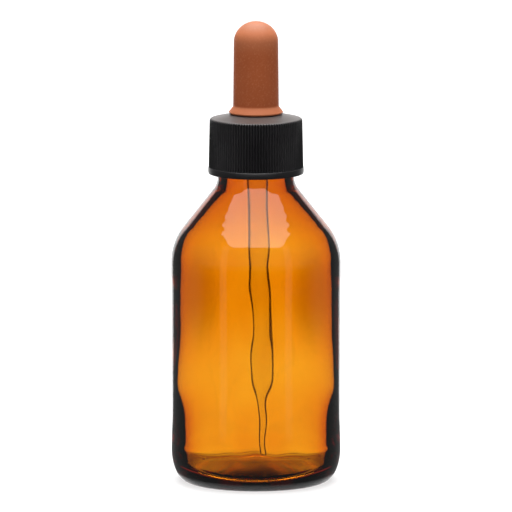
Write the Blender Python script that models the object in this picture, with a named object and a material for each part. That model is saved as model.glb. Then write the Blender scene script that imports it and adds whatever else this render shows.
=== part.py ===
"""Oval amber medicine bottle closed by a screw cap that carries a rubber bulb and a glass pipette.

+Z is up, +X is the wide side of the oval, and the front looks along -Y. The origin is the middle of
the ring that the bottle stands on. The bottle is a flat oval that turns round towards its neck. The
bulb's groove grips the hole in the cap, its lower flange lies on the rim of the glass as the seal,
and the pipette is pushed up into its throat. Lengths are metres.
"""

import math

import bmesh
import bpy
from mathutils import Vector

mm = 0.001

# Clearances: between pieces that press on each other, and past a face that a cutter goes through
seat_gap = 0.3 * mm
overrun = 1.0 * mm

# Bottle, outside
body_width = 56.5 * mm
body_depth = 43.0 * mm
oval_power = 2.06
shoulder_drop = 45.5 * mm
shoulder_radius = 19.0 * mm
shoulder_angle = math.radians(38.4)
neck_radius = 12.75 * mm
neck_fillet = 6.5 * mm
bottle_height = 119.7 * mm
label_recess = 0.12 * mm
label_bottom = 22.0 * mm
label_below_shoulder = 8.2 * mm
label_run_out = 4.0 * mm
heel_inset = 5.4 * mm
heel_inset_front = 4.2 * mm
heel_height = 10.6 * mm
foot_ring_width = 3.0 * mm
push_up = 2.4 * mm

# Bottle, neck finish under the cap
bead_stand_out = 0.85 * mm
bead_height = 2.2 * mm
bead_below_rim = 13.0 * mm
lip_inset = 0.55 * mm
lip_height = 1.6 * mm
lip_rounding = 0.7 * mm
lip_crown = 0.06 * mm

# Bottle, inside
wall = 2.2 * mm
neck_wall = 3.25 * mm
base_thickness = 3.0 * mm
inner_heel = 6.0 * mm
end_rise = 2.2 * mm

# Screw cap
cap_height = 19.6 * mm
thread_room = 0.4 * mm
cap_wall = 1.66 * mm
cap_taper = 0.34 * mm
cap_bead_stand_out = 0.18 * mm
cap_bead_height = 2.1 * mm
cap_crown = 0.9 * mm
cap_edge_rounding = 1.8 * mm
cap_plate = 2.0 * mm
rib_count = 105
rib_depth = 0.4 * mm
cap_mouth_chamfer = 0.5 * mm

# Rubber bulb
bulb_height = 30.4 * mm
bulb_foot_radius = 7.56 * mm
bulb_taper = 0.26 * mm
bulb_dome_height = 6.8 * mm
bulb_wall = 1.6 * mm
collar_stand_out = 1.37 * mm
collar_height = 2.15 * mm
collar_edge = 0.4 * mm
throat_wall = 1.8 * mm
seal_inset = 0.75 * mm
seal_thickness = 1.3 * mm
throat_length = 9.7 * mm

# Glass pipette
pipette_radius = 3.5 * mm
pipette_wall = 1.0 * mm
pipette_in_bulb = 1.0 * mm
tip_clearance = 8.2 * mm
tip_bore_radius = 0.6 * mm
tip_wall = 0.6 * mm
tip_swell = 0.35 * mm
tip_length = 15.3 * mm
tip_taper = 12.0 * mm
pipette_lean = math.radians(1.25)

# Faces around each piece
oval_segments = 64
round_segments = 64
bulb_segments = 36
pipette_segments = 24
arc_steps = 6

half_width = body_width / 2
half_depth = body_depth / 2
shoulder_start = bottle_height - shoulder_drop
label_top = shoulder_start - label_below_shoulder
bead_radius = neck_radius + bead_stand_out
bore_radius = neck_radius - neck_wall
seal_radius = neck_radius - seal_inset
seal_bottom = bottle_height + seat_gap
cap_ceiling = seal_bottom + seal_thickness + seat_gap
cap_seat = cap_ceiling + cap_plate
cap_bottom = cap_seat - cap_height
cap_bore_radius = bead_radius + thread_room
cap_bottom_radius = cap_bore_radius + cap_wall
cap_top_radius = cap_bottom_radius - cap_taper
cap_bead_radius = cap_bottom_radius + cap_bead_stand_out
collar_bottom = cap_seat + seat_gap
collar_radius = bulb_foot_radius + collar_stand_out
bulb_top_radius = bulb_foot_radius - bulb_taper
throat_radius = pipette_radius + seat_gap
groove_radius = throat_radius + throat_wall
cap_hole_radius = groove_radius + seat_gap
# The collar's flat underside rests on a raised land of the same width round the hole.
collar_seat_radius = collar_radius - collar_edge
throat_middle = seal_bottom + throat_length / 2
tip_radius = tip_bore_radius + tip_wall
tip_root_radius = tip_radius + tip_swell


def clear_scene():
    for thing in list(bpy.data.objects):
        bpy.data.objects.remove(thing)


def material(name, colour, roughness, transmission=0.0, ior=1.5):
    finish = bpy.data.materials.new(name)
    finish.use_nodes = True
    shader = finish.node_tree.nodes["Principled BSDF"]
    shader.inputs["Base Color"].default_value = (*colour, 1.0)
    shader.inputs["Roughness"].default_value = roughness
    shader.inputs["Metallic"].default_value = 0.0
    shader.inputs["Transmission Weight"].default_value = transmission
    shader.inputs["IOR"].default_value = ior
    finish.diffuse_color = (*colour, 1.0)
    return finish


def make_object(name, shell, finish=None, origin=(0.0, 0.0, 0.0)):
    """Turns a bmesh into a smooth-shaded object whose origin is the given point."""
    bmesh.ops.remove_doubles(shell, verts=shell.verts, dist=seat_gap / 1000)
    bmesh.ops.recalc_face_normals(shell, faces=shell.faces)
    bmesh.ops.translate(shell, verts=shell.verts, vec=-Vector(origin))
    mesh = bpy.data.meshes.new(name)
    shell.to_mesh(mesh)
    shell.free()
    mesh.shade_smooth()
    mesh.set_sharp_from_angle(angle=math.radians(35))
    thing = bpy.data.objects.new(name, mesh)
    bpy.context.scene.collection.objects.link(thing)
    thing.location = origin
    if finish:
        mesh.materials.append(finish)
    return thing


def cut_away(thing, name, shell, origin=(0.0, 0.0, 0.0)):
    """Cuts the closed shape in shell out of thing, and leaves it in the file as a hidden cutter."""
    cutter = make_object(f"{thing.name}_{name}", shell, origin=origin)
    cutter.hide_render = True
    cutter.display_type = "WIRE"
    cut = thing.modifiers.new(name, "BOOLEAN")
    cut.operation = "DIFFERENCE"
    cut.solver = "EXACT"
    cut.object = cutter
    return cutter


def arc(centre, radii, start, end, steps=arc_steps):
    """Points (across, height) on a quarter or part of an ellipse, both ends included."""
    points = []
    for step in range(steps + 1):
        angle = start + (end - start) * step / steps
        across = centre[0] + radii[0] * math.cos(angle)
        height = centre[1] + radii[1] * math.sin(angle)
        points.append((across, height))
    return points


def turned(profile, segments):
    """A profile of (radius, height) points spun round Z. Its ends meet, or both lie on the axis."""
    shell = bmesh.new()
    corners = [shell.verts.new((radius, 0.0, height)) for radius, height in profile]
    edges = [shell.edges.new(pair) for pair in zip(corners, corners[1:])]
    on_axis = profile[0][0] == 0 and profile[-1][0] == 0
    if not on_axis:
        edges.append(shell.edges.new((corners[-1], corners[0])))
    bmesh.ops.spin(
        shell,
        geom=corners + edges,
        cent=(0.0, 0.0, 0.0),
        axis=(0.0, 0.0, 1.0),
        angle=2 * math.pi,
        steps=segments,
        use_merge=True,
    )
    return shell


def skinned(rings):
    """A closed skin through rings of equally many points, each ring extruded to the next one.

    If the last ring is the first one again the skin is a tube, and if not both its ends are filled.
    """
    shell = bmesh.new()
    place = shell.verts.layers.int.new("place")
    corners = [shell.verts.new(point) for point in rings[0]]
    for index, corner in enumerate(corners):
        corner[place] = index
    first = [shell.edges.new((corners[index - 1], corner)) for index, corner in enumerate(corners)]
    last = first
    for ring in rings[1:]:
        grown = bmesh.ops.extrude_edge_only(shell, edges=last)["geom"]
        tips = {item for item in grown if isinstance(item, bmesh.types.BMVert)}
        for tip in tips:
            tip.co = ring[tip[place]]
        last = [item for item in grown if isinstance(item, bmesh.types.BMEdge) and tips.issuperset(item.verts)]
    if rings[-1] is not rings[0]:
        for end in (first, last):
            bmesh.ops.edgeloop_fill(shell, edges=end)
    return shell


def oval_ring(level):
    """The points of one level of the glass: a superellipse, raised at the ends of the oval."""
    across, deep, height, power, rise = level
    points = []
    for step in range(oval_segments):
        angle = 2 * math.pi * step / oval_segments
        along_x, along_y = math.cos(angle), math.sin(angle)
        x = across * math.copysign(abs(along_x) ** (2 / power), along_x)
        y = deep * math.copysign(abs(along_y) ** (2 / power), along_y)
        points.append(Vector((x, y, height + rise * along_x**2)))
    return points


def body_level(across, height):
    """A level of the body or shoulder. It is as far from an oval to a circle as it is to the neck."""
    to_body = (across - neck_radius) / (half_width - neck_radius)
    deep = neck_radius + (half_depth - neck_radius) * to_body
    power = 2 + (oval_power - 2) * min(max(to_body, 0.0), 1.0)
    return (across, deep, height, power, 0.0)


def shoulder_profile():
    """Half-widths and heights from the top of the body, over the shoulder, to the neck."""
    over = arc(
        (half_width - shoulder_radius, shoulder_start),
        (shoulder_radius, shoulder_radius),
        0.0,
        shoulder_angle,
    )
    lean = math.tan(shoulder_angle)
    neck_turn = neck_fillet * (1 - math.cos(shoulder_angle))
    slope_foot, slope_foot_height = over[-1]
    slope_height = (slope_foot - neck_radius - neck_turn) / lean
    neck_start = slope_foot_height + slope_height + neck_fillet * math.sin(shoulder_angle)
    into_neck = arc(
        (neck_radius + neck_fillet, neck_start),
        (neck_fillet, neck_fillet),
        math.pi + shoulder_angle,
        math.pi,
        arc_steps - 2,
    )
    return over + into_neck


def outside_levels():
    """The bottle's outer skin, from the middle of the push-up, out to the foot ring and up to the lip."""
    foot_width = half_width - heel_inset
    foot_depth = half_depth - heel_inset_front
    dome_share = 1 - foot_ring_width / foot_depth
    levels = []
    for share in (0.04, 0.35, 0.68, 1.0):
        height = push_up * (1 - share**2)
        width_share = dome_share * share
        levels.append((foot_width * width_share, foot_depth * width_share, height, oval_power, 0.0))
    for out_share, up_share in arc((0.0, 1.0), (1.0, 1.0), -math.pi / 2, 0.0):
        across = foot_width + heel_inset * out_share
        deep = foot_depth + heel_inset_front * out_share
        levels.append((across, deep, heel_height * up_share, oval_power, 0.0))
    panel = half_width - label_recess
    levels.append(body_level(half_width, label_bottom - label_run_out))
    levels.append(body_level(panel, label_bottom))
    levels.append(body_level(panel, label_top))
    levels.append(body_level(half_width, label_top + label_run_out))
    levels += [body_level(across, height) for across, height in shoulder_profile()]
    bead_middle = bottle_height - bead_below_rim
    bead = arc((neck_radius, bead_middle), (bead_stand_out, bead_height / 2), -math.pi / 2, math.pi / 2)
    lip_middle = (neck_radius - lip_inset - lip_rounding, bottle_height - lip_crown - lip_rounding)
    rim = arc(lip_middle, (lip_rounding, lip_rounding), 0.0, math.pi / 2, 3)
    land_top = (neck_radius, bottle_height - lip_height)
    crown = ((lip_middle[0] + bore_radius + lip_rounding) / 2, bottle_height)
    for across, height in bead + [land_top] + rim + [crown]:
        levels.append((across, across, height, 2.0, 0.0))
    return levels


def inside_levels():
    """The hollow's skin, from the middle of the floor up through the neck to the rim."""
    across = half_width - label_recess - wall
    deep = half_depth - label_recess - wall
    floor_width = across - inner_heel
    floor_depth = deep - inner_heel
    middle = push_up + base_thickness
    edge = base_thickness + push_up / 3
    levels = []
    for share in (0.05, 0.55):
        height = edge + (middle - edge) * (1 - share**2)
        levels.append((floor_width * share, floor_depth * share, height, oval_power, end_rise * share**2))
    heel = arc((0.0, inner_heel), (inner_heel, inner_heel), -math.pi / 2, 0.0, arc_steps - 1)
    for out, up in heel:
        levels.append((floor_width + out, floor_depth + out, edge + up, oval_power, end_rise))
    levels.append((across, deep, label_bottom, oval_power, 0.0))
    levels.append((across, deep, shoulder_start - wall, oval_power, 0.0))
    outline = shoulder_profile()
    depth_lean = (half_depth - neck_radius) / (half_width - neck_radius)
    for (low, low_height), (high, high_height) in zip(outline[1:], outline[2:]):
        lean = (low - high) / (high_height - low_height)
        outer = body_level((low + high) / 2, (low_height + high_height) / 2)
        to_neck = (half_width - outer[0]) / (half_width - neck_radius)
        thick = wall + (neck_wall - wall) * to_neck
        inner_width = outer[0] - thick * math.hypot(1, lean)
        inner_depth = outer[1] - thick * math.hypot(1, lean * depth_lean)
        levels.append((inner_width, inner_depth, outer[2], outer[3], 0.0))
    mouth = [(bore_radius, outline[-1][1] + neck_fillet / 4)]
    lip_middle = (bore_radius + lip_rounding, bottle_height - lip_crown - lip_rounding)
    mouth += arc(lip_middle, (lip_rounding, lip_rounding), math.pi, math.pi / 2, 3)
    for across, height in mouth:
        levels.append((across, across, height, 2.0, 0.0))
    return levels


def build_bottle():
    """Blown amber glass: one skin up the outside, over the lip and down the inside to the floor."""
    amber = material("amber_glass", (0.55, 0.19, 0.02), 0.03, transmission=0.7, ior=1.52)
    outside = outside_levels()
    inside = inside_levels()
    shell = skinned([oval_ring(level) for level in outside + inside[::-1]])
    return make_object("glass_bottle", shell, amber)


def cap_groove_ring():
    """The ring that cuts the grooves: its inner edge zigzags between the cap's skin and the grooves' roots."""
    low = cap_bottom + cap_bead_height
    high = cap_seat + overrun
    taper = cap_taper / (cap_height - cap_bead_height)
    walls = []
    for height in (low, high):
        skin = cap_bottom_radius - taper * (height - low)
        teeth, outer = [], []
        for step in range(2 * rib_count):
            angle = math.pi * step / rib_count
            radius = skin - rib_depth if step % 2 else skin + rib_depth / 4
            along = Vector((math.cos(angle), math.sin(angle), 0.0))
            lift = Vector((0.0, 0.0, height))
            teeth.append(along * radius + lift)
            outer.append(along * (cap_bead_radius + overrun) + lift)
        walls.append((teeth, outer))
    (low_teeth, low_outer), (high_teeth, high_outer) = walls
    return skinned([low_teeth, high_teeth, high_outer, low_outer, low_teeth])


def build_cap():
    """Moulded black plastic: ribbed skirt over a smooth bead, slightly crowned top with a hole for the bulb."""
    black = material("black_plastic", (0.018, 0.017, 0.019), 0.45)
    bead_top = cap_bottom + cap_bead_height
    bead_round = cap_bead_height / 2
    edge_foot = cap_seat - cap_crown - cap_edge_rounding
    edge_middle = (cap_top_radius - cap_edge_rounding, edge_foot)
    outer = [(collar_seat_radius, cap_seat)]
    outer += reversed(arc(edge_middle, (cap_edge_rounding, cap_edge_rounding), 0.0, math.pi / 2, 5))
    outer += [(cap_bottom_radius, bead_top)]
    outer += reversed(
        arc(
            (cap_bottom_radius, bead_top - bead_round),
            (cap_bead_stand_out, bead_round),
            -math.pi / 2,
            math.pi / 2,
        )
    )
    inner = [
        (cap_bore_radius + cap_mouth_chamfer, cap_bottom),
        (cap_bore_radius, cap_bottom + cap_mouth_chamfer),
        (cap_bore_radius, cap_ceiling),
        (cap_hole_radius, cap_ceiling),
        (cap_hole_radius, cap_seat),
    ]
    origin = (0.0, 0.0, cap_bottom)
    cap = make_object("screw_cap", turned(outer + inner, round_segments), black, origin)
    cut_away(cap, "grooves", cap_groove_ring(), origin)
    return cap


def build_bulb():
    """Moulded red-brown rubber: hollow bulb, collar over the cap, groove for its hole, seal and throat."""
    rubber = material("red_rubber", (0.36, 0.13, 0.06), 0.7)
    top = cap_seat + bulb_height + seat_gap
    collar_top = collar_bottom + collar_height
    dome_middle = top - bulb_dome_height
    hollow_top_radius = bulb_top_radius - bulb_wall
    hollow_radius = bulb_foot_radius - bulb_wall
    hollow_dome_height = bulb_dome_height - bulb_wall
    throat_top = seal_bottom + throat_length
    dome = arc((0.0, dome_middle), (bulb_top_radius, bulb_dome_height), math.pi / 2, 0.0, 8)
    ceiling = arc((0.0, dome_middle), (hollow_top_radius, hollow_dome_height), 0.0, math.pi / 2)
    # A cosine is never quite nothing, and the pole has to lie on the axis.
    dome[0] = (0.0, top)
    ceiling[-1] = (0.0, dome_middle + hollow_dome_height)
    outer = dome + [
        (bulb_foot_radius, collar_top),
        (collar_radius, collar_bottom + collar_edge),
        (collar_seat_radius, collar_bottom),
        (groove_radius, collar_bottom),
        (groove_radius, seal_bottom + seal_thickness),
        (seal_radius, seal_bottom + seal_thickness),
        (seal_radius, seal_bottom),
    ]
    inner = [
        (throat_radius + seat_gap, seal_bottom),
        (throat_radius, seal_bottom + seat_gap),
        (throat_radius, throat_top),
        (hollow_radius, throat_top + hollow_radius - throat_radius),
    ]
    shell = turned(outer + inner + ceiling, bulb_segments)
    return make_object("rubber_bulb", shell, rubber, (0.0, 0.0, collar_bottom))


def build_pipette():
    """Clear glass tube drawn out to a fine tip. It leans a little in the bulb's soft throat."""
    clear = material("clear_glass", (0.9, 0.93, 0.92), 0.02, transmission=0.9, ior=1.5)
    top = seal_bottom + throat_length + pipette_in_bulb
    tip = tip_clearance
    tip_root = tip + tip_length
    tube_foot = tip_root + tip_taper
    bore = pipette_radius - pipette_wall
    root_bore = tip_bore_radius + tip_swell
    bend_share = 0.4
    swell = pipette_radius - (pipette_radius - tip_root_radius) * bend_share / 2
    bore_swell = bore - (bore - root_bore) * bend_share / 2
    bend_height = tube_foot - tip_taper * bend_share
    profile = [
        (bore, top),
        (pipette_radius, top),
        (pipette_radius, tube_foot),
        (swell, bend_height),
        (tip_root_radius, tip_root),
        (tip_radius, tip),
        (tip_bore_radius, tip),
        (root_bore, tip_root),
        (bore_swell, bend_height),
        (bore, tube_foot),
    ]
    shell = turned(profile, pipette_segments)
    pipette = make_object("glass_pipette", shell, clear, (0.0, 0.0, throat_middle))
    pipette.rotation_euler = (0.0, -pipette_lean, 0.0)
    return pipette


clear_scene()
build_bottle()
closure = bpy.data.objects.new("closure", None)
bpy.context.scene.collection.objects.link(closure)
closure.location = (0.0, 0.0, bottle_height)
bpy.context.view_layer.update()
for piece in (build_cap(), build_bulb(), build_pipette()):
    piece.parent = closure
    piece.matrix_parent_inverse = closure.matrix_world.inverted()
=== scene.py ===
"""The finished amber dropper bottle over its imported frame, with the camera and a photographer's table.

+Z is up, +X is the wide side of the oval and the front looks along -Y. Lengths are metres. The sections
follow the bottle as it is put together: studio, glass bottle, screw cap, rubber bulb and glass pipette.
"""

import math

import bmesh
import bpy
from mathutils import Matrix, Vector, noise


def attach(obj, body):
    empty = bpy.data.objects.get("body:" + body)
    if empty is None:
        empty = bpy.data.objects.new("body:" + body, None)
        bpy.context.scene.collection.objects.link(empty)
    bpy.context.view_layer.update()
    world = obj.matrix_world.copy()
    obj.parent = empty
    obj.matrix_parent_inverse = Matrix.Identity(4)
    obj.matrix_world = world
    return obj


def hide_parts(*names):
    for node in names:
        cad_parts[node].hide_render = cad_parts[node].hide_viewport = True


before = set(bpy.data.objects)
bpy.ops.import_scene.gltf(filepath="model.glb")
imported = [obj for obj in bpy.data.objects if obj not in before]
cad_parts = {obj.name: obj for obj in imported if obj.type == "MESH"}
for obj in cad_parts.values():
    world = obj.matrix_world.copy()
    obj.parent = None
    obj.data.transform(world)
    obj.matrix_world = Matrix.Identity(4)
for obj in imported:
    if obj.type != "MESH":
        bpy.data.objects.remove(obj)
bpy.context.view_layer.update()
mm = 0.001
scene = bpy.context.scene


# Camera, table and light. The bottle stands on a white table in a white room, under a large soft box,
# and the camera looks down on it by ten degrees. Glass and gloss see the table and the room in a
# brightness of their own, which draws the white ground, the dark edges and the highlight of the glass.

look_height = 76.05 * mm
camera_distance = 1.140
camera_tilt = math.radians(10.0)
pixel = 0.332 * mm
table_size = 12.0
room_radius = 3.0

camera_data = bpy.data.cameras.new("camera")
camera_data.sensor_width = 36.0
camera_data.lens = camera_distance / pixel * camera_data.sensor_width / 512
camera = bpy.data.objects.new("camera", camera_data)
camera.location = (
    0.0,
    -camera_distance * math.cos(camera_tilt),
    look_height + camera_distance * math.sin(camera_tilt),
)
camera.rotation_euler = (math.pi / 2 - camera_tilt, 0.0, 0.0)
scene.collection.objects.link(camera)
scene.camera = camera
scene.view_settings.view_transform = "Standard"


def plug(tree, node, inputs):
    """Sets a node's sockets, given by name or number, to a value or a link."""
    for name, value in inputs.items():
        if isinstance(value, bpy.types.NodeSocket):
            tree.links.new(value, node.inputs[name])
        else:
            node.inputs[name].default_value = value


def new_node(tree, kind, inputs, **settings):
    node = tree.nodes.new(kind)
    for name, value in settings.items():
        setattr(node, name, value)
    plug(tree, node, inputs)
    return node


def maths(tree, operation, first, second=0.0, third=0.0):
    return new_node(tree, "ShaderNodeMath", {0: first, 1: second, 2: third}, operation=operation).outputs[0]


def product(tree, first, *others):
    for other in others:
        first = maths(tree, "MULTIPLY", first, other)
    return first


def eased(tree, value, start, end):
    """0 below start and 1 above end, eased between them. A start above end turns it round."""
    node = new_node(
        tree,
        "ShaderNodeMapRange",
        {"Value": value, "From Min": start, "From Max": end},
        interpolation_type="SMOOTHSTEP",
    )
    return node.outputs["Result"]


def own_place(tree):
    """Where on the object a point lies, in the object's own coordinates."""
    return new_node(tree, "ShaderNodeTexCoord", {}).outputs["Object"]


def mixed(tree, share, first, second):
    return new_node(tree, "ShaderNodeMixShader", {0: share, 1: first, 2: second}).outputs[0]


def glow(tree, strength):
    white = (1.0, 1.0, 1.0, 1.0)
    return new_node(tree, "ShaderNodeEmission", {"Color": white, "Strength": strength}).outputs[0]


def oval_out(tree, across, along):
    """The square of how far out a place is, the oval foot's width drawn in to its depth."""
    drawn_in = 0.58
    along_squared = maths(tree, "POWER", along, 2.0)
    return maths(tree, "MULTIPLY_ADD", maths(tree, "POWER", across, 2.0), drawn_in, along_squared)


# A pair runs from where a light is dark to where it is full, in metres out, radians off straight back
# or faces of glass.

wall_glow = 1.6
painted_shadow_foot = (26 * mm, 50 * mm)
back_run = 38 * mm
back_share = 0.9
faces_crossed = 4.0
one_wall = (1.5, 0.5)
beside_from = (0.09, 0.13)
beside_to = (0.36, 0.26)
beside_out = (0.40, 0.52)
beside_share = 0.65


def seen_through_glass(tree, across, along):
    """How bright the surroundings are through glass: a white room, but dark along the edge of a wall.

    Light that crosses a tube goes through four faces, and light that runs along one wall through two.
    Some of the latter shines past the bottle's sides into the neck. The table under the foot is dark, a
    painted shadow of the bottle, lighter towards the back.
    """
    out = oval_out(tree, across, along)
    behind = product(tree, eased(tree, along, 0.0, back_run), back_share)
    # Painted shadow: the table is dark under the foot, except towards the back.
    open_table = eased(tree, out, painted_shadow_foot[0] ** 2, painted_shadow_foot[1] ** 2)
    open_table = maths(tree, "MAXIMUM", open_table, behind)
    faces = new_node(tree, "ShaderNodeLightPath", {}).outputs["Transmission Depth"]
    crossed = eased(tree, maths(tree, "MODULO", faces, faces_crossed), *one_wall)
    angle = maths(tree, "ARCTAN2", maths(tree, "ABSOLUTE", across), along)
    beside = product(tree, eased(tree, angle, *beside_from), eased(tree, angle, *beside_to))
    past = eased(tree, out, beside_out[0] ** 2, beside_out[1] ** 2)
    crossed = maths(tree, "MAXIMUM", crossed, product(tree, beside, past, beside_share))
    return product(tree, crossed, open_table, wall_glow)


back_wall_edge = (0.72, 0.56)
back_wall_foot = (0.03, 0.10)
near_edge = (0.36, 0.22)
near_glow = 0.18
foot_edge = (22.8 * mm, 19.8 * mm)
far_edge = (0.45, 1.1)
far_glow = 0.2
side_edge = (2.3, 1.8)
side_glow = 0.2
strip_place = math.radians(147)
strip_edge = (math.radians(5.0), math.radians(3.0))
strip_foot = (0.08, 0.16)
strip_glow = 0.26


def seen_in_gloss(tree, across, along):
    """How bright the surroundings are in reflections: dim table in front, white wall behind.

    The table shines close to the foot, and a strip in front on both sides draws thin upright lines.
    """
    squares = [maths(tree, "POWER", side, 2.0) for side in (across, along)]
    out = maths(tree, "SQRT", maths(tree, "ADD", *squares))
    angle = maths(tree, "ARCTAN2", maths(tree, "ABSOLUTE", across), along)
    wall = product(tree, eased(tree, angle, *back_wall_edge), eased(tree, out, *back_wall_foot), wall_glow)
    near = product(tree, eased(tree, out, *near_edge), near_glow)
    foot = eased(tree, oval_out(tree, across, along), foot_edge[0] ** 2, foot_edge[1] ** 2)
    far = product(tree, eased(tree, out, *far_edge), far_glow)
    table = maths(tree, "ADD", maths(tree, "MAXIMUM", near, foot), far)
    side = product(tree, eased(tree, angle, *side_edge), side_glow)
    off_strip = maths(tree, "ABSOLUTE", maths(tree, "SUBTRACT", angle, strip_place))
    strip = product(tree, eased(tree, off_strip, *strip_edge), eased(tree, out, *strip_foot), strip_glow)
    front = maths(tree, "ADD", maths(tree, "MAXIMUM", table, side), strip)
    return maths(tree, "MAXIMUM", wall, front)


table_white = (0.35, 0.35, 0.35, 1.0)
table_edge = (0.05, 0.35)
table_glow_near = 0.72
table_glow_rise = 0.3

table_mesh = bpy.data.meshes.new("table")
table_shell = bmesh.new()
bmesh.ops.create_grid(table_shell, x_segments=1, y_segments=1, size=table_size / 2)
table_shell.to_mesh(table_mesh)
table_shell.free()
table = bpy.data.objects.new("table", table_mesh)
scene.collection.objects.link(table)
white_table = bpy.data.materials.new("white_table")
white_table.use_nodes = True
white_table.cycles.emission_sampling = "NONE"
tree = white_table.node_tree
tree.nodes.clear()
place = own_place(tree)
sides = new_node(tree, "ShaderNodeSeparateXYZ", {0: place}).outputs
light_path = new_node(tree, "ShaderNodeLightPath", {}).outputs
top_coat = new_node(tree, "ShaderNodeBsdfDiffuse", {"Color": table_white}).outputs[0]
out = new_node(tree, "ShaderNodeVectorMath", {0: place}, operation="LENGTH").outputs["Value"]
shine = maths(tree, "MULTIPLY_ADD", eased(tree, out, *table_edge), table_glow_rise, table_glow_near)
seen = new_node(tree, "ShaderNodeAddShader", {0: glow(tree, shine), 1: top_coat}).outputs[0]
mirrored = glow(tree, seen_in_gloss(tree, sides["X"], sides["Y"]))
through = glow(tree, seen_through_glass(tree, sides["X"], sides["Y"]))
finish = mixed(tree, light_path["Is Camera Ray"], top_coat, seen)
finish = mixed(tree, light_path["Is Glossy Ray"], finish, mirrored)
finish = mixed(tree, light_path["Is Transmission Ray"], finish, through)
new_node(tree, "ShaderNodeOutputMaterial", {"Surface": finish})
table_mesh.materials.append(white_table)

room_fade = (1.4, 0.8)
room_least = 0.16
room_light = 0.10
highlight_glow = 3.1
highlight_foot = (math.radians(14.5), math.radians(17))
highlight_head = (math.radians(62), math.radians(58))
highlight_end = (-0.01, 0.03)
highlight_half = math.radians(8)
highlight_spread = 1.1
wing_rise = (math.radians(36.5), math.radians(43))
wing_width = math.radians(17)

world = bpy.data.worlds.new("white_room")
scene.world = world
world.use_nodes = True
tree = world.node_tree
tree.nodes.clear()
direction = new_node(tree, "ShaderNodeTexCoord", {}).outputs["Generated"]
far = new_node(
    tree, "ShaderNodeVectorMath", {0: direction, "Scale": room_radius}, operation="SCALE"
).outputs[0]
sides = new_node(tree, "ShaderNodeSeparateXYZ", {0: far}).outputs
light_path = new_node(tree, "ShaderNodeLightPath", {}).outputs
low = eased(tree, sides["Z"], *room_fade)
gloss = product(tree, seen_in_gloss(tree, sides["X"], sides["Y"]), low)
gloss = maths(tree, "MAXIMUM", gloss, room_least)
to_front = product(tree, sides["Y"], -1.0)
turned_away = maths(tree, "ARCTAN2", maths(tree, "ABSOLUTE", sides["X"]), to_front)
level_reach = maths(tree, "SUBTRACT", room_radius**2, maths(tree, "POWER", sides["Z"], 2.0))
rise = maths(tree, "ARCTAN2", sides["Z"], maths(tree, "SQRT", level_reach))
wing = product(tree, eased(tree, rise, *wing_rise), wing_width)
reach = maths(tree, "ADD", maths(tree, "MULTIPLY_ADD", rise, highlight_spread, highlight_half), wing)
inside_end = eased(tree, maths(tree, "SUBTRACT", reach, turned_away), *highlight_end)
highlight = product(tree, inside_end, eased(tree, rise, *highlight_foot), eased(tree, rise, *highlight_head))
gloss = maths(tree, "MAXIMUM", gloss, product(tree, highlight, highlight_glow))
through = product(tree, seen_through_glass(tree, sides["X"], sides["Y"]), low)
level = maths(tree, "MULTIPLY_ADD", light_path["Is Camera Ray"], 1.0 - room_light, room_light)
for flag, value in (("Is Glossy Ray", gloss), ("Is Transmission Ray", through)):
    level = new_node(
        tree, "ShaderNodeMix", {"Factor": light_path[flag], "A": level, "B": value}, data_type="FLOAT"
    ).outputs["Result"]
background = new_node(tree, "ShaderNodeBackground", {"Color": (1.0, 1.0, 1.0, 1.0), "Strength": level})
new_node(tree, "ShaderNodeOutputWorld", {"Surface": background.outputs[0]})


def soft_box(name, width, depth, watts, place, aim):
    lamp_data = bpy.data.lights.new(name, "AREA")
    lamp_data.shape = "RECTANGLE"
    lamp_data.size = width
    lamp_data.size_y = depth
    lamp_data.energy = watts
    lamp = bpy.data.objects.new(name, lamp_data)
    lamp.location = place
    lamp.rotation_euler = (Vector(aim) - Vector(place)).to_track_quat("-Z", "Y").to_euler()
    scene.collection.objects.link(lamp)
    return lamp


front_box = soft_box(
    "soft_box_front", width=1.6, depth=0.42, watts=3.4, place=(0.0, -0.90, 0.627), aim=(0.0, 0.0, 0.09)
)
front_box.visible_glossy = False
soft_box("soft_box_top", width=1.2, depth=1.2, watts=32.0, place=(0.0, 0.20, 1.25), aim=(0.0, 0.0, 0.1))


# Glass bottle: blown amber glass, a flat oval that turns round towards its threaded neck. A machine
# blows it in a mould, so the outside is true and the inside wavy, thick at the heel and thin in the
# middle. The push-up in its base leaves a flat ring to stand on.

body_width = 56.5 * mm
body_depth = 43.0 * mm
oval_power = 2.06
shoulder_start = 74.2 * mm
shoulder_radius = 19.0 * mm
shoulder_angle = math.radians(38.4)
shoulder_crown = 0.2
neck_radius = 12.75 * mm
neck_fillet = 6.5 * mm
bottle_height = 119.7 * mm
label_recess = 0.12 * mm
label_bottom = 22.0 * mm
label_top = 66.0 * mm
label_run_out = 4.0 * mm
heel_inset = 5.4 * mm
heel_inset_front = 4.2 * mm
heel_height = 10.6 * mm
foot_ring_width = 3.0 * mm
push_up = 2.4 * mm
bead_stand_out = 0.85 * mm
bead_height = 2.2 * mm
bead_below_rim = 13.0 * mm
lip_inset = 0.55 * mm
lip_rounding = 0.7 * mm
thread_pitch = 3.0 * mm
thread_stand_out = 0.9 * mm
thread_half = 1.05 * mm
thread_foot = 109.6 * mm
thread_head = 117.2 * mm
thread_run_out = 0.15
thread_roundness = 0.7
wall = 2.2 * mm
neck_wall = 3.25 * mm
floor_width = 24.0 * mm
floor_depth = 18.4 * mm
floor_middle = 5.1 * mm
floor_edge = 3.3 * mm
floor_power = 2.5
floor_fillet = 4.0 * mm
floor_fillet_height = 0.8 * mm
floor_end_rise = 2.9 * mm
floor_end_fade = (14 * mm, 8 * mm)
crease = 0.35 * mm
crease_outline = ((0.3, 0.1), (0.8, 0.2), (1.0, 0.3), (0.8, 0.4), (0.3, 0.5), (0.0, 0.6))
inner_heel_inset = (0.2 * mm, 0.1 * mm)
inner_heel_height = 8.0 * mm
inner_heel_power = 2.2
middle_share = 0.02
oval_segments = 176
half_width = body_width / 2
half_depth = body_depth / 2


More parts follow.
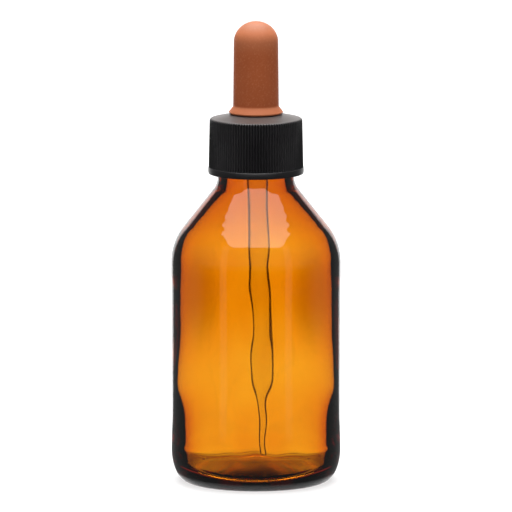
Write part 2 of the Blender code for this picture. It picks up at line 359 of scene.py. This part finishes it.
def arc(centre, radii, start, end, steps):
    """Points (across, height) on part of an ellipse, both ends included."""
    points = []
    for step in range(steps + 1):
        angle = start + (end - start) * step / steps
        points.append((centre[0] + radii[0] * math.cos(angle), centre[1] + radii[1] * math.sin(angle)))
    return points


def between(first, second, steps):
    """Levels spread evenly from one level to the next, the second one included."""
    return [
        tuple(low + (high - low) * step / steps for low, high in zip(first, second))
        for step in range(1, steps + 1)
    ]


def run(value, start, end):
    """0 at start and 1 at end, straight between them and held beyond. A start above end turns it round."""
    return min(max((value - start) / (end - start), 0.0), 1.0)


def s_curve(share):
    return share * share * (3 - 2 * share)


def skinned(rings, tube=False):
    """A skin through rings of equally many points, each extruded to the next and the two ends filled.

    A tube's last ring lies on its first, so it has no ends.
    """
    shell = bmesh.new()
    place = shell.verts.layers.int.new("place")
    corners = [shell.verts.new(point) for point in rings[0]]
    for index, corner in enumerate(corners):
        corner[place] = index
    first = [shell.edges.new((corners[index - 1], corner)) for index, corner in enumerate(corners)]
    last = first
    for ring in rings[1:]:
        grown = bmesh.ops.extrude_edge_only(shell, edges=last)["geom"]
        tips = {item for item in grown if isinstance(item, bmesh.types.BMVert)}
        for tip in tips:
            tip.co = ring[tip[place]]
        edges = [item for item in grown if isinstance(item, bmesh.types.BMEdge)]
        last = [edge for edge in edges if tips.issuperset(edge.verts)]
    if not tube:
        for end in (first, last):
            bmesh.ops.edgeloop_fill(shell, edges=end)
    return shell


def finished_piece(name, shell, finish, sharp=35):
    """The object of a closed shell, its doubles merged, its faces outwards and its shading smooth."""
    bmesh.ops.remove_doubles(shell, verts=shell.verts, dist=mm / 1000)
    bmesh.ops.recalc_face_normals(shell, faces=shell.faces)
    mesh = bpy.data.meshes.new(name)
    shell.to_mesh(mesh)
    shell.free()
    mesh.shade_smooth()
    mesh.set_sharp_from_angle(angle=math.radians(sharp))
    mesh.materials.append(finish)
    piece = bpy.data.objects.new(name, mesh)
    scene.collection.objects.link(piece)
    return piece


def oval_ring(level):
    """The points of one level of the glass: half-width, half-depth, height and power of a superellipse."""
    across, deep, height, power = level
    points = []
    for step in range(oval_segments):
        angle = 2 * math.pi * step / oval_segments
        along_x, along_y = math.cos(angle), math.sin(angle)
        x = across * math.copysign(abs(along_x) ** (2 / power), along_x)
        y = deep * math.copysign(abs(along_y) ** (2 / power), along_y)
        points.append(Vector((x, y, height)))
    return points


def body_level(across, height):
    """A level of the body or shoulder, as far from oval to circle as it is to the neck, and crowned."""
    to_body = (across - neck_radius) / (half_width - neck_radius)
    crown = 1 + shoulder_crown * (1 - to_body)
    deep = neck_radius + (half_depth - neck_radius) * to_body * crown
    return (across, deep, height, 2 + (oval_power - 2) * run(to_body, 0.0, 1.0))


def shoulder_profile():
    """Half-widths and heights from the top of the body, over the shoulder, to the neck."""
    over_middle = (half_width - shoulder_radius, shoulder_start)
    over = arc(over_middle, (shoulder_radius, shoulder_radius), 0.0, shoulder_angle, 24)
    neck_turn = neck_fillet * (1 - math.cos(shoulder_angle))
    slope_foot, slope_foot_height = over[-1]
    slope_height = (slope_foot - neck_radius - neck_turn) / math.tan(shoulder_angle)
    neck_start = slope_foot_height + slope_height + neck_fillet * math.sin(shoulder_angle)
    turn_middle = (neck_radius + neck_fillet, neck_start)
    into_neck = arc(turn_middle, (neck_fillet, neck_fillet), math.pi + shoulder_angle, math.pi, 8)
    return over + between(over[-1], into_neck[0], 24)[:-1] + into_neck


def outside_levels():
    """The bottle's outer skin, from the middle of the push-up, out to the foot ring and up to the lip."""
    foot_width = half_width - heel_inset
    foot_depth = half_depth - heel_inset_front
    dome_share = 1 - foot_ring_width / foot_depth
    levels = []
    for step in range(13):
        share = middle_share + (1 - middle_share) * step / 12
        width_share = dome_share * share
        height = push_up * (1 - share**2)
        levels.append((foot_width * width_share, foot_depth * width_share, height, oval_power))
    for out_share, up_share in arc((0.0, 1.0), (1.0, 1.0), -math.pi / 2, 0.0, 18):
        across = foot_width + heel_inset * out_share
        deep = foot_depth + heel_inset_front * out_share
        levels.append((across, deep, heel_height * up_share, oval_power))
    panel = half_width - label_recess
    levels += between(levels[-1], body_level(half_width, label_bottom - label_run_out), 5)
    levels += between(levels[-1], body_level(panel, label_bottom), 4)
    levels += between(levels[-1], body_level(panel, label_top), 24)
    levels += between(levels[-1], body_level(half_width, label_top + label_run_out), 4)
    levels += [body_level(across, height) for across, height in shoulder_profile()]
    bead_middle = (neck_radius, bottle_height - bead_below_rim)
    bead = arc(bead_middle, (bead_stand_out, bead_height / 2), -math.pi / 2, math.pi / 2, 8)
    levels += [(across, across, height, 2.0) for across, height in bead]
    lip_middle = (neck_radius - lip_inset - lip_rounding, bottle_height - lip_rounding)
    rim = arc(lip_middle, (lip_rounding, lip_rounding), 0.0, math.pi / 2, 6)
    top_turn = (rim[0][0], rim[0][0], rim[0][1], 2.0)
    levels += between(levels[-1], (neck_radius, neck_radius, thread_head + thread_half, 2.0), 34)
    levels += between(levels[-1], top_turn, 2)
    levels += [(across, across, height, 2.0) for across, height in rim[1:]]
    return levels


def thread_relief(angle, height):
    """How far the neck's right-handed thread stands out, running in and out at its ends."""
    turn = (height - thread_foot) / thread_pitch - angle / (2 * math.pi)
    off = (turn - round(turn)) * thread_pitch
    along = round(turn) + angle / (2 * math.pi)
    turns = (thread_head - thread_foot) / thread_pitch
    ends = run(along, 0.0, thread_run_out) * run(along, turns, turns - thread_run_out)
    share = max(0.0, 1 - (off / thread_half) ** 2)
    return thread_stand_out * share**thread_roundness * ends


def inside_levels():
    """The hollow's skin, from the middle of the floor up through the neck to the rim."""
    across = half_width - label_recess - wall
    deep = half_depth - label_recess - wall
    levels = []
    for step in range(17):
        share = middle_share + (1 - middle_share) * step / 16
        width = (floor_width - floor_fillet) * share
        depth = (floor_depth - floor_fillet) * share
        height = floor_edge + (floor_middle - floor_edge) * (1 - share**2)
        levels.append((width, depth, height, floor_power))
    fillet_middle = (-floor_fillet, floor_fillet_height)
    for out, up in arc(fillet_middle, (floor_fillet, floor_fillet_height), -math.pi / 2, 0.0, 12)[1:]:
        levels.append((floor_width + out, floor_depth + out, floor_edge + up, floor_power))
    crease_foot = levels[-1][2]
    for inset, up in crease_outline:
        width = floor_width - crease * inset
        depth = floor_depth - crease * inset
        levels.append((width, depth, crease_foot + up * mm, floor_power))
    heel_across, heel_deep = across - inner_heel_inset[0], deep - inner_heel_inset[1]
    inner_heel = (heel_across, heel_deep, floor_edge + inner_heel_height, inner_heel_power)
    levels += between(levels[-1], inner_heel, 6)
    levels += between(levels[-1], (across, deep, label_bottom, oval_power), 8)
    levels += between(levels[-1], (across, deep, shoulder_start - wall, oval_power), 36)
    outline = shoulder_profile()
    depth_lean = (half_depth - neck_radius) / (half_width - neck_radius)
    for (low, low_height), (high, high_height) in zip(outline[2:], outline[3:]):
        lean = (low - high) / (high_height - low_height)
        outer = body_level((low + high) / 2, (low_height + high_height) / 2)
        to_neck = (half_width - outer[0]) / (half_width - neck_radius)
        thick = wall + (neck_wall - wall) * to_neck
        inner_width = outer[0] - thick * math.hypot(1, lean)
        inner_depth = outer[1] - thick * math.hypot(1, lean * depth_lean)
        levels.append((inner_width, inner_depth, outer[2], outer[3]))
    bore = neck_radius - neck_wall
    lip_middle = (bore + lip_rounding, bottle_height - lip_rounding)
    mouth = arc(lip_middle, (lip_rounding, lip_rounding), math.pi, math.pi / 2, 6)
    levels += between(levels[-1], (bore, bore, outline[-1][1] + neck_fillet / 4, 2.0), 2)
    levels += between(levels[-1], (bore, bore, mouth[0][1], 2.0), 12)
    levels += [(across, across, height, 2.0) for across, height in mouth[1:]]
    return levels


belt_height = 64 * mm
belt_half = 9.5 * mm
belt_thick = 0.30 * mm
corner_across = 18.5 * mm
corner_half = 6.0 * mm
corner_thick = 0.50 * mm
end_run = (30 * mm, 62 * mm)
end_thick_low = 0.1 * mm
end_thick_rise = 1.0 * mm
waist_height = 36 * mm
waist_half = 10 * mm
waist_thin = 0.30 * mm
heel_run = (33 * mm, 22 * mm)
heel_thick = 2.4 * mm
wave_size = 17 * mm
wave_depth = 0.12 * mm
dimple_size = 4.5 * mm
dimple_depth = 0.02 * mm
streak_seed = 4.7
streak_width = 5.5 * mm
streak_length = 11 * mm
streak_depth = 0.38 * mm
streak_half = 12 * mm
wavy_from = (6 * mm, 14 * mm)
wavy_to = (112 * mm, 82 * mm)
skin_ripple = 0.02 * mm
skin_ripple_size = 9 * mm
shoulder_ripple = 0.007 * mm
shoulder_ripple_size = 2.9 * mm
shoulder_ripple_top = 98 * mm


def ripple(point, size, seed):
    """Smooth noise between -1 and 1 whose waves are about this long round and up the glass."""
    return noise.noise(Vector((point.x / size, point.y / size, point.z / size + seed)))


def swell(off, half):
    """1 where off is 0, falling like a bell to about a third where it reaches half."""
    return math.exp(-((off / half) ** 2))


def settled_wall(point):
    """How much thicker than in the mould the blown wall is here: thick belt, thin waist, thick heel."""
    end_share = (point.x / half_width) ** 2
    corner = swell(abs(point.x) - corner_across, corner_half)
    belt = (belt_thick + corner_thick * corner) * swell(point.z - belt_height, belt_half)
    ends = end_thick_low + end_thick_rise * s_curve(run(point.z, *end_run))
    waist = waist_thin * swell(point.z - waist_height, waist_half)
    heel = heel_thick * s_curve(run(point.z, *heel_run))
    wave = wave_depth * ripple(point, wave_size, 3.0) + dimple_depth * ripple(point, dimple_size, 9.0)
    if point.y < 0:
        streak = noise.noise(Vector((point.x / streak_width, streak_seed, point.z / streak_length)))
        wave += streak_depth * streak * swell(point.x, streak_half)
    return belt * (1 - end_share**2) - waist + ends * end_share**3 + heel * end_share**4 + wave


outside_rings = [oval_ring(level) for level in outside_levels()]
for ring in outside_rings:
    for step, point in enumerate(ring):
        along = Vector((point.x, point.y, 0.0)).normalized()
        if bottle_height - bead_below_rim + bead_height / 2 < point.z < bottle_height - lip_rounding:
            point += along * thread_relief(2 * math.pi * step / oval_segments, point.z)
        elif point.z > heel_height:
            point -= along * skin_ripple * (1 + ripple(point, skin_ripple_size, 5.0))
            if shoulder_start + mm < point.z < shoulder_ripple_top:
                turn = 2 * math.pi * point.z / shoulder_ripple_size
                point -= along * shoulder_ripple * (1 + math.cos(turn))
inside_rings = [oval_ring(level) for level in inside_levels()]
for ring in inside_rings:
    for point in ring:
        along = Vector((point.x / half_width**2, point.y / half_depth**2, 0.0)).normalized()
        point -= along * settled_wall(point) * run(point.z, *wavy_to) * run(point.z, *wavy_from)
        point.z += floor_end_rise * (point.x / floor_width) ** 2 * run(point.z, *floor_end_fade)


def new_finish(name):
    """A material with its node tree and its shader."""
    finish = bpy.data.materials.new(name)
    finish.use_nodes = True
    return finish, finish.node_tree, finish.node_tree.nodes["Principled BSDF"]


def colour_mix(tree, share, first, second):
    """A colour between two, each given as red, green and blue or as a link."""
    inputs = {"Factor": share}
    for socket, colour in ((6, first), (7, second)):
        inputs[socket] = (*colour, 1.0) if isinstance(colour, tuple) else colour
    return new_node(tree, "ShaderNodeMix", inputs, data_type="RGBA").outputs[2]


amber_left = (0.922, 0.74, 0.0, 1.0)
amber_density = 1385.0
amber_ior = 1.52
clean_tint = (1.0, 1.0, 1.0)
smoky_tint = (0.86, 0.90, 1.0)
smoky_across = 19 * mm
smoky_half_width = 7.2 * mm
smoky_height = 63 * mm
smoky_half_height = 18 * mm
smoky_edge = (1.3, 0.0)

amber_glass, tree, shader = new_finish("amber_glass")
sides = new_node(tree, "ShaderNodeSeparateXYZ", {0: own_place(tree)}).outputs
aside = maths(tree, "SUBTRACT", maths(tree, "ABSOLUTE", sides["X"]), smoky_across)
above = maths(tree, "SUBTRACT", sides["Z"], smoky_height)
squares = [
    maths(tree, "POWER", maths(tree, "DIVIDE", off, half), 2.0)
    for off, half in ((aside, smoky_half_width), (above, smoky_half_height))
]
in_smoke = eased(tree, maths(tree, "ADD", *squares), *smoky_edge)
smoky = colour_mix(tree, in_smoke, clean_tint, smoky_tint)
plug(tree, shader, {"Base Color": smoky, "Transmission Weight": 1.0, "Roughness": 0.0, "IOR": amber_ior})
amber = new_node(tree, "ShaderNodeVolumeAbsorption", {"Color": amber_left, "Density": amber_density})
plug(tree, tree.nodes["Material Output"], {"Volume": amber.outputs[0]})

bottle_shell = skinned(outside_rings + inside_rings[::-1])
bottle = finished_piece("blown_bottle", bottle_shell, amber_glass, 50)
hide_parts("glass_bottle")
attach(bottle, "bottle")


# Screw cap: moulded black plastic. Its skirt has 105 fine grooves over a smooth bottom bead, and its
# slightly crowned top has a hole that the bulb's groove snaps into. The grooves run out in the
# rounded top edge, and the top is painted paler, a painted sheen of the light at a grazing view.

cap_bottom = 104.0 * mm
cap_seat = 123.6 * mm
cap_ceiling = 121.6 * mm
cap_top_radius = 15.32 * mm
cap_bottom_radius = 15.66 * mm
cap_bead_radius = 15.84 * mm
cap_bead_height = 2.1 * mm
cap_bore_radius = 14.0 * mm
cap_hole_radius = 5.9 * mm
cap_land_radius = 8.53 * mm
cap_crown = 1.3 * mm
cap_edge_rounding = 0.9 * mm
cap_mouth_chamfer = 0.5 * mm
cap_hole_chamfer = 0.2 * mm
cap_ceiling_chamfer = 0.6 * mm
rib_count = 105
rib_depth = 0.48 * mm
rib_foot_step = 0.05 * mm
steps_per_rib = 8
plastic_dark = (0.0045, 0.0042, 0.005)
plastic_light = (0.0085, 0.0078, 0.0092)
# The pale top colour and its edge are a painted sheen on the cap's top.
plastic_painted_sheen = (0.082, 0.068, 0.064)
cap_painted_sheen_edge = (121.7 * mm, 122.5 * mm)


def groove_share(step):
    """The depth of the grooves round the cap as a share: rounded ribs with narrow roots."""
    place = (step % steps_per_rib) / steps_per_rib
    return 0.5 - 0.5 * math.cos(2 * math.pi * place)


def cap_profile():
    """Radius, height and whether the grooves reach it, from the mouth up the outside to the hole."""
    bead_round = cap_bead_height / 2
    bead_middle = (cap_bottom_radius, cap_bottom + bead_round)
    bead_radii = (cap_bead_radius - cap_bottom_radius, bead_round)
    bead = arc(bead_middle, bead_radii, -math.pi / 2, math.pi / 2, 12)
    edge_foot = cap_seat - cap_crown - cap_edge_rounding
    skirt_foot = (cap_bottom_radius, cap_bottom + cap_bead_height + rib_foot_step)
    skirt = [skirt_foot] + between(skirt_foot, (cap_top_radius, edge_foot), 14)
    edge_middle = (cap_top_radius - cap_edge_rounding, edge_foot)
    edge = arc(edge_middle, (cap_edge_rounding, cap_edge_rounding), 0.0, math.pi / 2, 14)[1:]
    top = between(edge[-1], (cap_land_radius, cap_seat), 6)
    inner = [
        (cap_hole_radius + cap_hole_chamfer, cap_seat),
        (cap_hole_radius, cap_seat - cap_hole_chamfer),
        (cap_hole_radius, cap_ceiling),
        (cap_bore_radius - cap_ceiling_chamfer, cap_ceiling),
        (cap_bore_radius, cap_ceiling - cap_ceiling_chamfer),
        (cap_bore_radius, cap_bottom + cap_mouth_chamfer),
        (cap_bore_radius + cap_mouth_chamfer, cap_bottom),
        (cap_bottom_radius, cap_bottom),
    ]
    return [
        (radius, height, grooved)
        for points, grooved in ((bead, False), (skirt + edge, True), (top + inner, False))
        for radius, height in points
    ]


cap_rings = []
taper = (cap_bottom_radius - cap_top_radius) / (cap_seat - cap_bottom - cap_bead_height)
for radius, height, grooved in cap_profile():
    ring = []
    skin = cap_bottom_radius - taper * (height - cap_bottom - cap_bead_height)
    for step in range(rib_count * steps_per_rib):
        angle = 2 * math.pi * step / (rib_count * steps_per_rib)
        reach = min(radius, skin - rib_depth * groove_share(step)) if grooved else radius
        ring.append(Vector((reach * math.cos(angle), reach * math.sin(angle), height)))
    cap_rings.append(ring)


def speckle(tree, place, scale, detail):
    inputs = {"Vector": place, "Scale": scale, "Detail": detail}
    return new_node(tree, "ShaderNodeTexNoise", inputs).outputs["Fac"]


def spread(tree, value, low, high):
    """A number from low to high as the value goes from 0 to 1."""
    return new_node(tree, "ShaderNodeMapRange", {"Value": value, "To Min": low, "To Max": high}).outputs[0]


def pitted(tree, height, strength):
    """The surface's direction where fine grain of a twentieth of a millimetre roughens it."""
    inputs = {"Height": height, "Strength": strength, "Distance": 0.05 * mm}
    return new_node(tree, "ShaderNodeBump", inputs).outputs[0]


black_plastic, tree, shader = new_finish("black_plastic")
place = own_place(tree)
cloud = speckle(tree, place, 160.0, 4.0)
grain = speckle(tree, place, 2600.0, 3.0)
tint = colour_mix(tree, cloud, plastic_dark, plastic_light)
high = new_node(tree, "ShaderNodeSeparateXYZ", {0: place}).outputs["Z"]
# Painted sheen: above the rounded edge the cap's top is painted paler.
dust_and_painted_light = colour_mix(tree, eased(tree, high, *cap_painted_sheen_edge), tint, plastic_painted_sheen)
plug(tree, shader, {
    "Base Color": dust_and_painted_light,
    "Roughness": spread(tree, cloud, 0.36, 0.46),
    "Normal": pitted(tree, grain, 0.25),
    "Specular IOR Level": 0.5,
    "Sheen Weight": 0.08,
    "Sheen Roughness": 0.35,
    "Sheen Tint": (1.0, 0.95, 0.93, 1.0),
})

cap_shell = skinned(cap_rings, tube=True)
cap = finished_piece("ribbed_cap", cap_shell, black_plastic)
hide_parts("screw_cap")
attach(cap, "cap")


# Rubber bulb: one moulding of red-brown rubber, dusted with talc. Its collar lies on the cap, its groove
# holds the cap's hole, its flange is the seal on the rim, and its throat grips the pipette. The tops of
# its collar and dome are painted paler, painted light from above.

bulb_top = 154.3 * mm
collar_bottom = 123.9 * mm
bulb_top_radius = 7.3 * mm
bulb_dome_height = 6.8 * mm
bulb_foot_radius = 7.56 * mm
bulb_foot_fillet = 0.25 * mm
bulb_wall = 1.6 * mm
collar_radius = 8.93 * mm
collar_height = 2.15 * mm
collar_edge = 0.4 * mm
collar_slope = math.radians(35)
groove_radius = 5.6 * mm
seal_radius = 12.0 * mm
seal_bottom = 120.0 * mm
seal_thickness = 1.3 * mm
throat_radius = 3.8 * mm
throat_length = 9.7 * mm
throat_chamfer = 0.3 * mm
rubber_dark = (0.41, 0.096, 0.029)
rubber_light = (0.47, 0.114, 0.036)
rubber_dust = (0.51, 0.147, 0.058)
# The next two colours, their edges and their share are painted light on the collar's top and the dome's top.
rubber_painted_light = (0.70, 0.25, 0.12)
rubber_painted_light_top = (0.48, 0.21, 0.12)
dust_edge = (0.5, 0.75)
painted_light_share = 0.6
collar_painted_light_edge = (126.8 * mm, 126.2 * mm)
dome_painted_light_edge = (142.5 * mm, 151.0 * mm)
top_painted_light_edge = (150.5 * mm, 153.0 * mm)


def turned(profile, segments):
    """A profile of (radius, height) points spun round Z. Its ends meet, or both lie on the axis."""
    shell = bmesh.new()
    corners = [shell.verts.new((radius, 0.0, height)) for radius, height in profile]
    edges = [shell.edges.new(pair) for pair in zip(corners, corners[1:])]
    if profile[0][0] or profile[-1][0]:
        edges.append(shell.edges.new((corners[-1], corners[0])))
    bmesh.ops.spin(
        shell,
        geom=corners + edges,
        cent=(0.0, 0.0, 0.0),
        axis=(0.0, 0.0, 1.0),
        angle=2 * math.pi,
        steps=segments,
        use_merge=True,
    )
    return shell


def bulb_profile():
    """The bulb's outline from the top of its dome, down outside, round the flange and up its hollow."""
    dome_middle = (0.0, bulb_top - bulb_dome_height)
    dome = arc(dome_middle, (bulb_top_radius, bulb_dome_height), math.pi / 2, 0.0, 24)
    dome[0] = (0.0, bulb_top)
    collar_top = collar_bottom + collar_height
    side = between(dome[-1], (bulb_foot_radius, collar_top), 24)
    side[-1] = (bulb_foot_radius, collar_top + bulb_foot_fillet)
    side.append((bulb_foot_radius + 0.4 * bulb_foot_fillet, collar_top + 0.1 * bulb_foot_fillet))
    edge_middle = (collar_radius - collar_edge, collar_bottom + collar_edge)
    edge = arc(edge_middle, (collar_edge, collar_edge), collar_slope, -math.pi / 2, 8)
    groove = [(groove_radius, collar_bottom), (groove_radius, seal_bottom + seal_thickness)]
    seal_round = seal_thickness / 2
    seal_middle = (seal_radius - seal_round, seal_bottom + seal_round)
    seal = arc(seal_middle, (seal_round, seal_round), math.pi / 2, -math.pi / 2, 8)
    throat_top = seal_bottom + throat_length
    hollow_radius = bulb_foot_radius - bulb_wall
    throat = [
        (throat_radius + throat_chamfer, seal_bottom),
        (throat_radius, seal_bottom + throat_chamfer),
        (throat_radius, throat_top),
        (hollow_radius, throat_top + hollow_radius - throat_radius),
    ]
    ceiling_radii = (bulb_top_radius - bulb_wall, bulb_dome_height - bulb_wall)
    ceiling = arc(dome_middle, ceiling_radii, 0.0, math.pi / 2, 12)
    ceiling[-1] = (0.0, bulb_top - bulb_wall)
    return dome + side + edge + groove + seal + throat + ceiling


red_rubber, tree, shader = new_finish("red_rubber")
place = own_place(tree)
cloud = speckle(tree, place, 220.0, 5.0)
dust = speckle(tree, place, 1500.0, 4.0)
tint = colour_mix(tree, cloud, rubber_dark, rubber_light)
dust_and_painted_light = colour_mix(tree, eased(tree, dust, *dust_edge), tint, rubber_dust)
high = new_node(tree, "ShaderNodeSeparateXYZ", {0: place}).outputs["Z"]
# Painted light: the collar's top and the dome's top are painted paler, a little less so at the very top.
painted_light_colour = colour_mix(tree, eased(tree, high, *top_painted_light_edge), rubber_painted_light, rubber_painted_light_top)
painted_light_on_top = maths(tree, "ADD", eased(tree, high, *collar_painted_light_edge), eased(tree, high, *dome_painted_light_edge))
plug(tree, shader, {
    "Base Color": colour_mix(tree, product(tree, painted_light_on_top, painted_light_share), dust_and_painted_light, painted_light_colour),
    "Roughness": spread(tree, cloud, 0.50, 0.62),
    "Normal": pitted(tree, dust, 0.2),
    "Specular IOR Level": 0.25,
})

bulb = finished_piece("dusty_bulb", turned(bulb_profile(), 96), red_rubber, 40)
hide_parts("rubber_bulb")
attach(bulb, "dropper")


# Glass pipette: clear glass tube of 7 mm, drawn out in a flame to a fine open tip. It is pushed up
# into the bulb's throat and leans a little in the soft rubber.

pipette_radius = 3.5 * mm
pipette_wall = 0.6 * mm
pipette_rounding = 0.3 * mm
pipette_top = 130.7 * mm
pipette_pivot = 124.85 * mm
pipette_lean = math.radians(1.25)
tip_foot = 8.2 * mm
tip_radius = 1.2 * mm
tip_root_radius = 1.55 * mm
tip_bore_radius = 0.75 * mm
tip_root = 23.5 * mm
tube_foot = 35.5 * mm


def eased_outline(low, high, steps):
    """Points from one (radius, height) to another along an S-curve, the last one included."""
    points = []
    for step in range(1, steps + 1):
        share = step / steps
        radius = low[0] + (high[0] - low[0]) * s_curve(share)
        points.append((radius, low[1] + (high[1] - low[1]) * share))
    return points


def pipette_profile():
    """The tube's outline: up its bore from the tip, round the top edge and down its outside."""
    bore = pipette_radius - pipette_wall
    root_bore = tip_bore_radius + tip_root_radius - tip_radius
    rounding = (pipette_rounding, pipette_rounding)
    up = [(tip_bore_radius, tip_foot)]
    up += between(up[-1], (root_bore, tip_root), 10)
    up += eased_outline(up[-1], (bore, tube_foot), 16)
    up += between(up[-1], (bore, pipette_top - pipette_rounding), 30)
    top_middle = (pipette_radius - pipette_rounding, pipette_top - pipette_rounding)
    top = arc(top_middle, rounding, math.pi / 2, 0.0, 4)
    down = between(top[-1], (pipette_radius, tube_foot), 30)
    down += eased_outline(down[-1], (tip_root_radius, tip_root), 16)
    down += between(down[-1], (tip_radius, tip_foot + pipette_rounding), 10)
    end_middle = (tip_radius - pipette_rounding, tip_foot + pipette_rounding)
    end = arc(end_middle, rounding, 0.0, -math.pi / 2, 3)[1:]
    return up + [(bore + pipette_rounding, pipette_top)] + top[1:] + down + end


pipette_shell = turned(pipette_profile(), 64)
pivot = Vector((0.0, 0.0, pipette_pivot))
lean = Matrix.Rotation(-pipette_lean, 3, "Y")
bmesh.ops.rotate(pipette_shell, verts=pipette_shell.verts, cent=pivot, matrix=lean)

clear_glass, tree, shader = new_finish("clear_glass")
plug(tree, shader, {
    "Base Color": (0.98, 0.99, 0.985, 1.0),
    "Transmission Weight": 1.0,
    "Roughness": 0.0,
    "IOR": 1.5,
})

pipette = finished_piece("drawn_pipette", pipette_shell, clear_glass, 50)
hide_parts("glass_pipette")
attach(pipette, "dropper")
